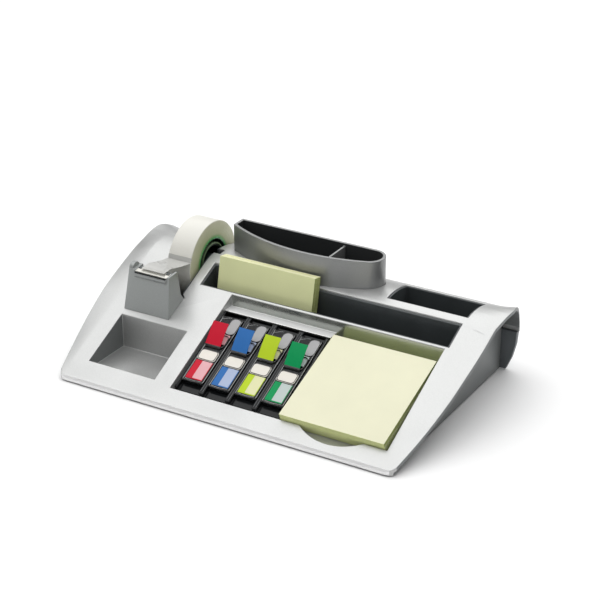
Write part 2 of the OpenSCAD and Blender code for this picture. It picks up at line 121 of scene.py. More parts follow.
room = bpy.data.worlds.new("white_room")
room.use_nodes = True
glow = room.node_tree.nodes["Background"]
glow.inputs["Color"].default_value = (1, 1, 1, 1)
glow.inputs["Strength"].default_value = ROOM_GLOW
scene.world = room
scene.view_settings.view_transform = "Standard"

# %% Lay the floor
FLOOR_HALF = 6.0
FLOOR_Z = -0.0002

floor_mesh = bpy.data.meshes.new("table_top")
floor_corners = [(x * FLOOR_HALF, y * FLOOR_HALF, FLOOR_Z)
                 for x, y in ((-1, -1), (1, -1), (1, 1), (-1, 1))]
floor_mesh.from_pydata(floor_corners, [], [(0, 1, 2, 3)])
table_top = bpy.data.objects.new("table_top", floor_mesh)
scene.collection.objects.link(table_top)
print("floor:", 2 * FLOOR_HALF, "m wide")

# %% [markdown]
# ## Finishes
# Nearly every piece is injection-moulded plastic. What makes it look real is small: a fine spark
# eroded grain in the mould, slow changes in gloss from handling, tiny metal flakes in the silver
# grades, and lighter edges, partly where the grain wears off first and partly a painted highlight.
# We could wrap pictures round the pieces, but noise in each piece's own coordinates needs no
# picture and shows no seams. Four short helpers come first: an empty material, a noise, a change of
# range and a blend of colours.

# %% Make the helpers for finishes
MIX_FACTOR, MIX_FIRST, MIX_SECOND = 0, 6, 7
MIX_COLOUR = 2


def shader(name):
    material = bpy.data.materials.new(name)
    material.use_nodes = True
    return material, material.node_tree.nodes, material.node_tree.links


def noise(nodes, links, where, scale, detail):
    texture = nodes.new("ShaderNodeTexNoise")
    texture.inputs["Scale"].default_value = scale
    texture.inputs["Detail"].default_value = detail
    links.new(where, texture.inputs["Vector"])
    return texture.outputs["Fac"]


def spread(nodes, links, value, low, high, to_low, to_high):
    mapper = nodes.new("ShaderNodeMapRange")
    for socket, number in zip(("From Min", "From Max", "To Min", "To Max"),
                              (low, high, to_low, to_high)):
        mapper.inputs[socket].default_value = number
    links.new(value, mapper.inputs["Value"])
    return mapper.outputs["Result"]


def blend_colour(nodes, links, factor, first, second):
    mixer = nodes.new("ShaderNodeMix")
    mixer.data_type = "RGBA"
    for socket, source in ((MIX_FACTOR, factor), (MIX_FIRST, first), (MIX_SECOND, second)):
        if isinstance(source, bpy.types.NodeSocket):
            links.new(source, mixer.inputs[socket])
        else:
            mixer.inputs[socket].default_value = (*source, 1)
    return mixer.outputs[MIX_COLOUR]


def tone(colour, gain):
    return tuple(min(1.0, c * gain) for c in colour)


def relief(nodes, links, height, strength, distance):
    bump = nodes.new("ShaderNodeBump")
    bump.inputs["Strength"].default_value = strength
    bump.inputs["Distance"].default_value = distance
    links.new(height, bump.inputs["Height"])
    links.new(bump.outputs["Normal"], nodes["Principled BSDF"].inputs["Normal"])


print("white at half gain:", tone((1, 1, 1), 0.5))

# %% [markdown]
# One function builds all the moulded finishes. Slow noise moves the colour and the gloss, fine
# noise gives the grain, finer noise still gives the flakes, and the lighter edges, part wear and
# part painted highlight, come from how pointed the surface is.

# %% Build the moulded finish
HANDLING_SCALE = 45.0
FLAKES_PER_GRAIN = 1.7
FLAKE_LIGHT, FLAKE_DARK, WORN_AND_LIT = 1.7, 0.55, 1.45
GRAIN_HEIGHT = 0.0003


def moulded(name, colour, rough=0.4, metal=0.0, mottle=0.05, flake=0.0, grain=1500, depth=0.05,
            wear_and_sheen=0.0, coat=0.0, gloss=0.5):
    material, nodes, links = shader(name)
    base = nodes["Principled BSDF"]
    here = nodes.new("ShaderNodeTexCoord").outputs["Object"]
    slow = noise(nodes, links, here, HANDLING_SCALE, 3.0)
    fine = noise(nodes, links, here, grain, 2.0)
    tint = blend_colour(nodes, links, spread(nodes, links, slow, 0.3, 0.7, 0, 1),
                        tone(colour, 1 - mottle), tone(colour, 1 + mottle))
    if flake:
        sparks = noise(nodes, links, here, grain * FLAKES_PER_GRAIN, 1.0)
        bright = spread(nodes, links, sparks, 0.4, 0.66, 0, flake)
        tint = blend_colour(nodes, links, bright, tint, tone(colour, FLAKE_LIGHT))
        dark = spread(nodes, links, sparks, 0.42, 0.3, 0, flake)
        tint = blend_colour(nodes, links, dark, tint, tone(colour, FLAKE_DARK))
    # Pointed edges are painted lighter: part wear, part painted highlight.
    if wear_and_sheen:
        edges = nodes.new("ShaderNodeNewGeometry").outputs["Pointiness"]
        rubbed_and_lit = spread(nodes, links, edges, 0.52, 0.62, 0, wear_and_sheen)
        tint = blend_colour(nodes, links, rubbed_and_lit, tint, tone(colour, WORN_AND_LIT))
    links.new(tint, base.inputs["Base Color"])
    sheen = spread(nodes, links, slow, 0.25, 0.75, max(0.03, rough - 0.06), rough + 0.07)
    links.new(sheen, base.inputs["Roughness"])
    base.inputs["Metallic"].default_value = metal
    base.inputs["Specular IOR Level"].default_value = gloss
    base.inputs["Coat Weight"].default_value = coat
    base.inputs["Coat Roughness"].default_value = 0.12
    relief(nodes, links, fine, depth, GRAIN_HEIGHT)
    material.diffuse_color = (*colour, 1)
    return material


print("worn edges are", WORN_AND_LIT, "times as bright as the face")

# %% Mix the plastics and the steel
def metallic(name, colour, rough, metal, mottle=0.02, flake=0.10, depth=0.05, wear_and_sheen=0.0):
    return moulded(name, colour, rough, metal, mottle, flake, 1300, depth, wear_and_sheen)


SILVER = metallic("silver_plastic", (0.49, 0.495, 0.49), 0.38, 0.66, wear_and_sheen=0.25)
LIT_LEDGE_SILVER = metallic("painted_light_ledge", (0.86, 0.86, 0.86), 0.32, 0.35, depth=0.04, wear_and_sheen=0.2)
SHADED_GLOSSY_SILVER = metallic("shaded_glossy_recess_wall", (0.43, 0.45, 0.42), 0.20, 0.85, flake=0.05,
                         depth=0.02)
PAINTED_SHADE_SILVER = metallic("painted_shade_side_wall", (0.20, 0.21, 0.21), 0.45, 0.4)
CUP_GREY = metallic("cup_grey_plastic", (0.27, 0.275, 0.275), 0.34, 0.55, mottle=0.03, wear_and_sheen=0.35)
TOWER_GREY = metallic("tower_grey_plastic", (0.30, 0.315, 0.31), 0.36, 0.35, mottle=0.03,
                      flake=0.12, depth=0.06, wear_and_sheen=0.3)
DARK = moulded("dark_grey_plastic", (0.125, 0.137, 0.145), rough=0.45, metal=0.1, mottle=0.08,
               flake=0.05, grain=1200, depth=0.10, wear_and_sheen=0.30)
LINER = moulded("black_liner_plastic", (0.058, 0.066, 0.069), rough=0.38, mottle=0.10, grain=1100,
                depth=0.10, wear_and_sheen=0.4)
INSERT = moulded("black_insert_plastic", (0.008, 0.009, 0.010), rough=0.13, mottle=0.15,
                 grain=400, depth=0.010, wear_and_sheen=0.3, gloss=0.2)
STEEL = moulded("cut_steel", (0.66, 0.65, 0.60), rough=0.30, metal=0.6, flake=0.1, grain=2500,
                depth=0.12, wear_and_sheen=0.3)
FLOOR_WHITE = moulded("white_table", (0.93, 0.93, 0.93), rough=0.7, mottle=0.004, grain=30,
                      depth=0.0)
floor_mesh.materials.append(FLOOR_WHITE)
print("moulded finishes:", len(bpy.data.materials))

# %% [markdown]
# ## Tools for pieces
# Where the mechanical piece already has the right outline, we copy it and round its edges, because
# no real moulding has a knife edge. We could round them by hand, but a bevel modifier does every
# edge at once, and weighted normals keep the flat faces flat. Every piece is hung on its body, and
# the mechanical nodes it replaces are hidden. The front edge of the organiser is where the y of our
# own measures starts.

# %% Measure from the front edge and round the edges
FRONT = cad_box[0][1] / MM
BEVEL_ROUNDS = 3


def at(x, y, z):
    return Vector((x, y + FRONT, z)) * MM


def soften(piece, width, angle):
    if width:
        edge = piece.modifiers.new("rounded_edges", "BEVEL")
        edge.width = width * MM
        edge.segments = BEVEL_ROUNDS
        weighed = "bevel_weight_edge" in piece.data.attributes
        edge.limit_method = "WEIGHT" if weighed else "ANGLE"
        edge.angle_limit = math.radians(angle)
        edge.use_clamp_overlap = False
    for face in piece.data.polygons:
        face.use_smooth = True
    piece.data.set_sharp_from_angle(angle=math.radians(angle))
    calm = piece.modifiers.new("calm_normals", "WEIGHTED_NORMAL")
    calm.keep_sharp = True


print("the front edge is at y =", round(FRONT, 3), "mm")

# %% Copy a node and add a piece
WELD = 0.000004
FLAT_ANGLE = 0.4


def add_piece(name, mesh, body, materials, nodes=(), width=0.0, angle=32):
    piece = bpy.data.objects.new(name, mesh)
    scene.collection.objects.link(piece)
    for material in materials:
        mesh.materials.append(material)
    soften(piece, width, angle)
    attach(piece, body)
    if nodes:
        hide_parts(*nodes)
    return piece


def node_mesh(node, shape=None):
    mesh = bpy.data.meshes.new(node + "_surface")
    work = bmesh.new()
    work.from_mesh(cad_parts[node].data)
    bmesh.ops.remove_doubles(work, verts=work.verts, dist=WELD)
    bmesh.ops.dissolve_limit(work, angle_limit=math.radians(FLAT_ANGLE), verts=work.verts,
                             edges=work.edges)
    if shape:
        shape(work)
    work.to_mesh(mesh)
    work.free()
    return mesh


print("nodes that can be copied:", sorted(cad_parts)[:3], "and so on")

# %% [markdown]
# ## The deck shell
# The big silver moulding carries everything. Its deck slopes up from a thin front lip, rolls over a
# crest and drops to the seam at the back. Outside a soft crease along each side the wing sags a
# little at the front and rises at the rear, like a fin. The mechanical model keeps the wing flat,
# so we cut its copy into narrow strips there and lift or lower each strip by a small table, and
# draw the waist in by another. We could sculpt it by hand, but tables keep both wings equal.

# %% Cut the wings into strips
CREASE = 124.5
STRIP_EDGES = (CREASE, 127, 129.5, 132, 134.5, 137, 139.5)
STRIP_LENGTH = 8
LAST_CUT = 160


def cut_beyond(work, side, limit, place, normal):
    outside = [f for f in work.faces if f.calc_center_median().x * side > limit]
    parts = list(dict.fromkeys(e for f in outside for e in f.edges))
    parts += outside
    parts += list(dict.fromkeys(v for f in outside for v in f.verts))
    bmesh.ops.bisect_plane(work, geom=parts, plane_co=place, plane_no=normal, dist=0.00001)


def cut_wings(work):
    for side in (-1, 1):
        for x in STRIP_EDGES:
            cut_beyond(work, side, 0, (side * x * MM, 0, 0), (1, 0, 0))
        for y in range(STRIP_LENGTH, LAST_CUT + 1, STRIP_LENGTH):
            cut_beyond(work, side, CREASE * MM, at(0, y, 0), (0, 1, 0))


print("cuts on each side:", len(STRIP_EDGES) + LAST_CUT // STRIP_LENGTH)

# %% Lift the strips
FULL_LIFT = 18
FIN_START, FIN_FOOT, FIN_HEIGHT = 140, 31, 16
LOWEST = 0.0004
WING = ((0, -1.6), (25, -2.4), (49, -1.4), (73, -0.9), (92, -2.2), (112, -3.7), (124, -3.4),
        (136, -0.8), (148, 2.2), (160, 3.0), (173, 1.0))
WAIST = ((0, 0), (60, 0.3), (90, 1.2), (118, 2.2), (132, 1.2), (150, -0.6), (173, -1.6))


def table(rows, value):
    for (a, first), (b, second) in zip(rows, rows[1:]):
        if value <= b:
            share = max(0.0, (value - a) / (b - a))
            return first + (second - first) * share
    return rows[-1][1]


def lift_wings(work):
    for point in work.verts:
        past = abs(point.co.x) / MM - CREASE
        if past > 0:
            share = min(1.0, past / FULL_LIFT) ** 1.5
            y = point.co.y / MM - FRONT
            if y > FIN_START:
                share *= min(1.0, max(0.0, (point.co.z / MM - FIN_FOOT) / FIN_HEIGHT))
            point.co.z = max(LOWEST, point.co.z + table(WING, y) * share * MM)
            point.co.x -= math.copysign(table(WAIST, y) * share * MM, point.co.x)


print("wing lift half way back:", round(table(WING, 86), 2), "mm")

# %% [markdown]
# The edges of the shell don't all get the same round. A real mould has a small radius where the
# plastic is thin, so the finger notch, the fins and the front lip are marked with a low weight.
# Its faces are not finished alike either. The ledge behind the flags and the front lip get a much
# lighter silver, a painted highlight. The recess walls get a glossier silver that mirrors the
# paper, in a slightly darker tone that is painted shade, and the side walls, the undersides and the
# left wall of the clip tray, which the light hardly reaches, get a dark silver of painted shade. A
# texture could blend these, but a finish for each face keeps the lines crisp.

# %% Mark the edges
FULL_ROUND, FINE_ROUND = 1.0, 0.3
ROUND_ANGLE = math.radians(30)


def mark_edges(work):
    weight = work.edges.layers.float.new("bevel_weight_edge")
    for edge in work.edges:
        if len(edge.link_faces) == 2 and edge.calc_face_angle(0) > ROUND_ANGLE:
            middle = (edge.verts[0].co + edge.verts[1].co) / 2 / MM
            y = middle.y - FRONT
            in_notch = 50 < middle.x < 106 and y < 16
            on_fin = abs(middle.x) > CREASE and y > 150 and middle.z < 48
            on_lip = y < 3
            edge[weight] = FINE_ROUND if in_notch or on_fin or on_lip else FULL_ROUND


def shape_shell(work):
    cut_wings(work)
    lift_wings(work)
    mark_edges(work)


shell_mesh = node_mesh("deck_shell", shape_shell)
print("shell faces:", len(shell_mesh.polygons))

# %% Choose the finish of each face and add the shell
PLAIN, PAINTED_LIGHT, SHADED_MIRROR, PAINTED_SHADE = range(4)


def face_finish(face):
    x, y, z = face.center / MM
    y -= FRONT
    right, back, up = face.normal
    at_recess_end = 81 < y < 92
    on_ledge = at_recess_end and -45 < x < 38 and 38 < z < 39 and up > 0.9
    on_lip = y < 1 and back < -0.7
    # Painted highlight: the ledge and the front lip get a much lighter silver.
    if on_ledge or on_lip:
        return PAINTED_LIGHT
    # Painted shade with real extra gloss: recess walls facing forward, and the one facing left, get
    # a darker, glossier silver.
    if (at_recess_end and -45 < x < 118 and back < -0.9) or (110 < x < 120 and right < -0.9):
        return SHADED_MIRROR
    # Painted shade: outer side walls, undersides and the left wall of the clip tray get a dark
    # silver.
    outer_wall = abs(x) > 112 and right * x > 0.9 * abs(x)
    if face.area > MM * MM and (up < -0.2 or outer_wall):
        return PAINTED_SHADE
    in_tray = -118 < x < -112 and right > 0.9
    return PAINTED_SHADE if in_tray else PLAIN


for face in shell_mesh.polygons:
    face.material_index = face_finish(face)
add_piece("silver_shell", shell_mesh, "housing",
          [SILVER, LIT_LEDGE_SILVER, SHADED_GLOSSY_SILVER, PAINTED_SHADE_SILVER], ["deck_shell"], 0.45, 30)
print("dull faces:", sum(face.material_index == PAINTED_SHADE for face in shell_mesh.polygons))

# %% [markdown]
# ## The base and the dark liners
# The base is a plain dark tray that closes the shell from below and shows only under the rear roll.
# The trough, the card slot and the tape slot are lined with near-black boxes, so that scuffs from
# scissors never reach the silver. All of them are straight copies with small rounded edges.

# %% Copy and round the base and liners
add_piece("base_tray", node_mesh("base_housing"), "housing", [DARK],
          ["base_housing"], 0.35)
LININGS = {"trough_liner": "trough_lining", "card_liner": "card_lining",
           "tape_well": "tape_slot_lining"}
for node, name in LININGS.items():
    add_piece(name, node_mesh(node), "housing", [LINER], [node], 0.3)
print("linings:", sorted(LININGS.values()))

# %% [markdown]
# ## The pen cup
# The cup is a separate moulding in a darker metallic grey. Its front is one long bow and its right
# end a half round. The edge of the rim is a little brighter, partly because fingers polish it and
# partly as a painted highlight. Inside it looks black, since very little light gets past the pens.
# A second piece could line it, but we only paint that shade, near black, onto the faces that look
# inward, so the wall keeps its thickness.

# %% Finish the cup
RIM_DEPTH = 4 * MM


def cup_faces(mesh):
    low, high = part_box("pen_cup")
    centre = (low + high) / 2
    for face in mesh.polygons:
        inward = face.normal.dot(Vector((centre.x, centre.y, face.center.z)) - face.center) > 0
        upright = abs(face.normal.z) < 0.5
        floor = face.center.z < high.z - RIM_DEPTH and face.normal.z > 0.5
        face.material_index = 1 if (upright and inward) or floor else 0
    return mesh


CUP_INSIDE_SHADE = moulded("cup_inside_painted_shade", (0.030, 0.032, 0.033), mottle=0.1, grain=1200,
                     depth=0.08, wear_and_sheen=0.2)
cup = add_piece("pen_cup_shell", cup_faces(node_mesh("pen_cup")), "housing",
                [CUP_GREY, CUP_INSIDE_SHADE], ["pen_cup"], 0.4, 30)
print("cup faces:", len(cup.data.polygons))

# %% [markdown]
# ## The cutter tower
# A tapered block with one rounded ear, a pull lip below the blade and a flat seat where the tape is
# held down. The blade is a strip of thin steel with pressed teeth along its front. Behind it are
# two small square sockets, left by the pins of the mould, and a thin gap. Cutting holes would
# change the solid, so three low black boxes paint the shade inside the sockets and the gap.

# %% Finish the tower and the blade
tower = add_piece("cutter_tower_block", node_mesh("cutter_tower"), "housing",
                  [TOWER_GREY], ["cutter_tower"], 0.4, 30)
blade = add_piece("toothed_blade", node_mesh("cutter_blade"), "housing", [STEEL],
                  ["cutter_blade"], 0.08)
print("tower and blade:", len(tower.data.polygons), len(blade.data.polygons))

# %% Add the sockets and the gap
SOCKET_SIZE = Vector((2.4, 1.8, 1.75)) * MM


def mesh_of(name, points, faces, marks=None):
    mesh = bpy.data.meshes.new(name)
    mesh.from_pydata([tuple(p) for p in points], [], faces)
    if marks:
        for face, mark in zip(mesh.polygons, marks):
            face.material_index = mark
    mesh.validate()
    mesh.update()
    return mesh


def dark_box(name, low, high, material, width):
    corners = [Vector((x, y, z)) for x in (low.x, high.x) for y in (low.y, high.y)
               for z in (low.z, high.z)]
    sides = [(0, 1, 3, 2), (4, 6, 7, 5), (0, 4, 5, 1), (2, 3, 7, 6), (0, 2, 6, 4), (1, 5, 7, 3)]
    add_piece(name, mesh_of(name, corners, sides), "housing", [material], (), width)


# Painted shade: black boxes stand where the sockets and the gap under the blade hold shade.
for name, x in (("left", -104.6), ("right", -81.9)):
    corner = at(x, 65.2, 62.0)
    dark_box("pin_socket_shade_" + name, corner, corner + SOCKET_SIZE, LINER, 0.15)
dark_box("blade_shadow_strip", at(-104.8, 60.3, 61.3), at(-79.2, 61.0, 62.3), INSERT, 0.1)
print("socket, mm:", [round(v / MM, 2) for v in SOCKET_SIZE])

# %% [markdown]
# ## The tape
# A full roll is thirty-odd metres of film wound on a plastic core. The flat side shows hundreds of
# edges as fine circles and takes a green-yellow tint, because light travels sideways through all
# those layers, while the outside is nearly white. So the side and the outside get their own finish.
# The circles are a wave that depends only on the distance from the axle.

# %% Find the axle and measure from it
REACH = 32

core_low, core_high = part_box("tape_core")
AXLE = (core_low + core_high) / 2
TAPE_HALF = (core_high.x - core_low.x) / 2 / MM


def from_axle(nodes, links):
    here = nodes.new("ShaderNodeTexCoord").outputs["Object"]
    shifted = nodes.new("ShaderNodeVectorMath")
    shifted.operation = "SUBTRACT"
    shifted.inputs[1].default_value = AXLE
    links.new(here, shifted.inputs[0])
    flat = nodes.new("ShaderNodeVectorMath")
    flat.operation = "MULTIPLY"
    flat.inputs[1].default_value = (0, 1, 1)
    links.new(shifted.outputs[0], flat.inputs[0])
    length = nodes.new("ShaderNodeVectorMath")
    length.operation = "LENGTH"
    links.new(flat.outputs[0], length.inputs[0])
    return here, length.outputs["Value"]


print("axle, mm:", [round(v / MM, 1) for v in AXLE])

# %% Build the ringed finish
def ringed(name, rows, rough, ring_depth, pitch, milky=0.0):
    material, nodes, links = shader(name)
    base = nodes["Principled BSDF"]
    here, radius = from_axle(nodes, links)
    ramp = nodes.new("ShaderNodeValToRGB")
    stops = ramp.color_ramp.elements
    while len(stops) < len(rows):
        stops.new(0.5)
    for stop, (distance, colour) in zip(stops, rows):
        stop.position = distance / REACH
        stop.color = (*colour, 1)
    links.new(spread(nodes, links, radius, 0, REACH * MM, 0, 1), ramp.inputs["Fac"])
    sine = nodes.new("ShaderNodeMath")
    sine.operation = "SINE"
    turns = spread(nodes, links, radius, 0, REACH * MM, 0, 2 * math.pi * REACH / pitch)
    links.new(turns, sine.inputs[0])
    uneven = noise(nodes, links, here, 260.0, 3.0)
    shade = spread(nodes, links, uneven, 0.35, 0.65, 0.0, 0.10)
    tint = blend_colour(nodes, links, shade, ramp.outputs["Color"], (0.45, 0.47, 0.33))
    links.new(tint, base.inputs["Base Color"])
    links.new(spread(nodes, links, uneven, 0.3, 0.7, rough - 0.05, rough + 0.08),
              base.inputs["Roughness"])
    base.inputs["Subsurface Weight"].default_value = milky
    base.inputs["Subsurface Radius"].default_value = (1, 1, 0.8)
    base.inputs["Subsurface Scale"].default_value = 0.003
    relief(nodes, links, sine.outputs[0], ring_depth, 0.0001)
    return material


print("rings reach", REACH, "mm from the axle")

# %% Mix the finishes of the tape, core and hub
TAPE_SIDE = ringed("wound_tape_side",
                   ((17.4, (0.10, 0.52, 0.13)), (18.4, (0.22, 0.42, 0.15)),
                    (20.0, (0.50, 0.53, 0.31)), (28.6, (0.64, 0.64, 0.46)),
                    (29.9, (0.76, 0.75, 0.68))), 0.42, 0.25, 0.5, 0.15)
TAPE_FACE = moulded("matte_tape_film", (0.72, 0.71, 0.655), rough=0.42, mottle=0.03, grain=500,
                    depth=0.06, coat=0.1)
# The core is green plastic; its rims stay green, while the colour turns near black across the deep
# groove between its walls, a painted shade.
CORE_GREEN_GROOVE_SHADE = ringed("green_core_groove_shade",
                    ((12.6, (0.004, 0.02, 0.010)), (13.2, (0.22, 0.33, 0.16)),
                     (14.1, (0.004, 0.02, 0.010)), (16.4, (0.006, 0.04, 0.016)),
                     (17.2, (0.05, 0.36, 0.09))), 0.25, 0.1, 1.1)
HUB = moulded("hub_plastic", (0.012, 0.022, 0.017), rough=0.32, mottle=0.10, grain=900, wear_and_sheen=0.3)
print("finishes so far:", len(bpy.data.materials))

# %% [markdown]
# The outside of the roll isn't a perfect cylinder. The winding wanders from side to side by a
# tenth of a millimetre or so, which leaves shallow steps on both flat sides. We could bend a long
# ribbon into a spiral, but a profile spun about the axle gives the same steps with few faces. Each
# profile is written for one half and mirrored.

# %% Make the tool that spins a profile
def spun(name, profile, centre, axis="X", turns=96, marks=None, closed=True):
    points = []
    for step in range(turns):
        turn = 2 * math.pi * step / turns
        for along, radius in profile:
            side = (radius * math.cos(turn), radius * math.sin(turn))
            local = (along, *side) if axis == "X" else (*side, along)
            points.append(Vector(local) * MM + centre)
    count = len(profile)
    faces = []
    face_marks = []
    for step in range(turns):
        for k in range(count if closed else count - 1):
            a = step * count + k
            b = step * count + (k + 1) % count
            c = (step + 1) % turns * count + (k + 1) % count
            d = (step + 1) % turns * count + k
            faces.append((a, d, c, b) if axis == "X" else (a, b, c, d))
            face_marks.append(marks[k] if marks else 0)
    return mesh_of(name, points, faces, face_marks)


def mirrored(profile):
    return profile + [(-x, r) for x, r in reversed(profile)]


print("a mirrored profile:", mirrored([(1.0, 2.0)]))

# %% Spin the roll
WOUND_FROM, WOUND_TO = 17.55, 29.5
STEPS = 24
WANDER = 0.12

random.seed(7)
side_steps = [(TAPE_HALF - WANDER * random.random(),
               WOUND_FROM + k * (WOUND_TO - WOUND_FROM) / STEPS) for k in range(STEPS + 1)]
tread = [(TAPE_HALF - 0.15, 29.68), (TAPE_HALF - 0.45, 29.8), (3.0, 29.77)]
roll_profile = mirrored(side_steps + tread)
tread_end = len(side_steps) + 2 * len(tread) - 1
marks = [1 if len(side_steps) <= k < tread_end else 0 for k in range(len(roll_profile))]
roll = add_piece("wound_tape", spun("wound_tape", roll_profile, AXLE, "X", 128, marks),
                 "tape_wheel", [TAPE_SIDE, TAPE_FACE], ["tape_roll"])
print("roll faces:", len(roll.data.polygons))

# %% Spin the core, hub and axle
core_profile = mirrored([
    (9.45, 12.72), (9.5, 12.9), (9.5, 13.75), (9.35, 13.9), (0.9, 13.95), (0.8, 14.1),
    (0.8, 16.2), (0.9, 16.3), (9.35, 16.35), (9.5, 16.5), (9.5, 17.3), (9.4, 17.48)])
add_piece("tape_core_rings", spun("tape_core_rings", core_profile, AXLE, "X", 128), "tape_wheel",
          [CORE_GREEN_GROOVE_SHADE], ["tape_core"], 0.0, 40)
hub_profile = mirrored([
    (9.0, 3.12), (9.0, 4.8), (8.8, 5.0), (1.2, 5.1), (1.0, 5.4), (1.0, 10.9),
    (1.2, 11.2), (8.8, 11.3), (9.0, 11.5), (9.0, 12.4), (8.8, 12.63)])
add_piece("tape_hub_wheel", spun("tape_hub_wheel", hub_profile, AXLE, "X", 96), "tape_wheel",
          [HUB], ["tape_hub"], 0.0, 40)
axle_profile = mirrored([
    (17.45, 0.0), (17.45, 2.2), (17.1, 2.75), (16.6, 2.98), (10.2, 3.0), (9.9, 2.85), (9.6, 3.0)])
add_piece("tape_axle_pin", spun("tape_axle_pin", axle_profile, AXLE, "X", 48, closed=False),
          "tape_axle", [HUB], ["hub_axle"], 0.0, 40)
print("corners in the profiles:", len(core_profile), len(hub_profile), len(axle_profile))

# %% [markdown]
# The free end of the tape leaves the roll at a sharp bend, runs forward almost level, and sticks to
# the seat of the tower just behind the teeth. Film is stiff across its width but a little wavy, so
# the strip sags by a hair in the middle and curls up at the cut edge. It is thinner than a model
# can show, so this one is a fifth of a millimetre, and its finish lets some light through.

# %% Lay out the line of the free end
SAG = 0.5
SPANS = 12


def tape_path():
    bend = (96.3, 59.4)
    seat = (73.0, 64.45)
    path = [(97.4, 62.6), (96.7, 60.9), bend]
    for k in range(1, SPANS):
        share = k / SPANS
        path.append((bend[0] + (seat[0] - bend[0]) * share,
                     bend[1] + (seat[1] - bend[1]) * share - SAG * math.sin(math.pi * share)))
    return path + [seat, (70.0, 64.45), (67.5, 64.3), (65.2, 64.1), (64.0, 64.05), (63.6, 64.15)]


tape_line = tape_path()
print("tape end: from", tape_line[0], "to", tape_line[-1])

# %% Drape the free end
FILM = 0.2
COLUMNS = 13
WAVE = 0.06


def strip(name, path):
    rows = len(path)
    top = rows * COLUMNS
    points = []
    for thickness in (0.0, FILM):
        for y, z in path:
            for k in range(COLUMNS):
                across = k / (COLUMNS - 1) * 2 - 1
                wave = WAVE * math.cos(across * 5 + y * 0.3)
                points.append(at(AXLE.x / MM + across * TAPE_HALF, y, z + thickness + wave))
    faces = []
    for row in range(rows - 1):
        for a in range(row * COLUMNS, row * COLUMNS + COLUMNS - 1):
            faces.append((a, a + COLUMNS, a + COLUMNS + 1, a + 1))
            faces.append((a + top, a + top + 1, a + top + COLUMNS + 1, a + top + COLUMNS))
    rim = list(range(COLUMNS))
    rim += [row * COLUMNS + COLUMNS - 1 for row in range(1, rows)]
    rim += [(rows - 1) * COLUMNS + k for k in range(COLUMNS - 2, -1, -1)]
    rim += [row * COLUMNS for row in range(rows - 2, 0, -1)]
    for a, b in zip(rim, rim[1:] + rim[:1]):
        faces.append((a, b, b + top, a + top))
    return mesh_of(name, points, faces)


TAPE_FILM = moulded("free_tape_film", (0.60, 0.60, 0.575), rough=0.30, mottle=0.04, grain=400,
                    coat=0.3)
TAPE_FILM.node_tree.nodes["Principled BSDF"].inputs["Alpha"].default_value = 0.72
add_piece("free_tape_end", strip("free_tape_end", tape_line), "tape_axle",
          [TAPE_FILM], ["tape_tail"], 0.0, 50)
print("points in the strip:", 2 * COLUMNS * len(tape_line))

# %% [markdown]
# ## Paper
# A pad is a stack of sheets that never line up exactly. Cutting leaves them within a quarter of a
# millimetre, so we pile up thin slabs, each shifted by a seeded random amount. That breaks the
# edge into fine lines of light and shade. Paper itself is quite rough and has short fibres. Three
# finishes cover a stack: the top, the cut edges, and the right side, which turns from the light and
# so gets a darker green, a painted shade.

# %% Make the tool that stacks sheets
TOP_BOTTOM, CUT_EDGE, SHADED_RIGHT = range(3)
SLAB = (((0, 3, 2, 1), TOP_BOTTOM), ((4, 5, 6, 7), TOP_BOTTOM), ((0, 1, 5, 4), CUT_EDGE),
        ((1, 2, 6, 5), SHADED_RIGHT), ((2, 3, 7, 6), CUT_EDGE), ((3, 0, 4, 7), CUT_EDGE))
SLAB_SHARE = 0.97
INSET = 0.04


def paper(name, colour):
    return moulded(name, colour, rough=0.72, mottle=0.02, grain=900, depth=0.12, gloss=0.25)


def sheet_stack(name, width, length, height, sheets, lean, corner, jitter, seed):
    random.seed(seed)
    turn = Matrix.Rotation(math.radians(lean), 4, "X")
    step = height / sheets
    points = []
    faces = []
    marks = []
    for k in range(sheets):
        last = k in (0, sheets - 1)
        dx = 0 if last else (random.random() - 0.5) * jitter
        dy = 0 if last else (random.random() - 0.5) * jitter
        inset = 0.0 if last else INSET
        start = len(points)
        for z in (k * step, k * step + step * SLAB_SHARE):
            for x, y in ((inset, inset), (width - inset, inset), (width - inset, length - inset),
                         (inset, length - inset)):
                x_in = min(max(x + dx, 0), width)
                y_in = min(max(y + dy, 0), length)
                points.append(turn @ (Vector((x_in, y_in, z)) * MM) + corner)
        for face, mark in SLAB:
            faces.append(tuple(start + v for v in face))
            marks.append(mark)
    return mesh_of(name, points, faces, marks)


print("sides of a sheet:", len(SLAB))

# %% Stack the note pad and the standing block
NOTE = 76
PAD_HEIGHT, PAD_TILT = 9.4, 20
BLOCK_HEIGHT, BLOCK_DEPTH, BLOCK_LEAN = 51, 8, 11.5

PAD_TOP = paper("pale_yellow_paper", (0.78, 0.77, 0.575))
PAD_EDGE = paper("yellow_green_paper_edge", (0.74, 0.80, 0.36))
BLOCK_FRONT = paper("green_yellow_paper", (0.80, 0.83, 0.46))
BLOCK_EDGE = paper("cream_paper_edge", (0.80, 0.79, 0.53))
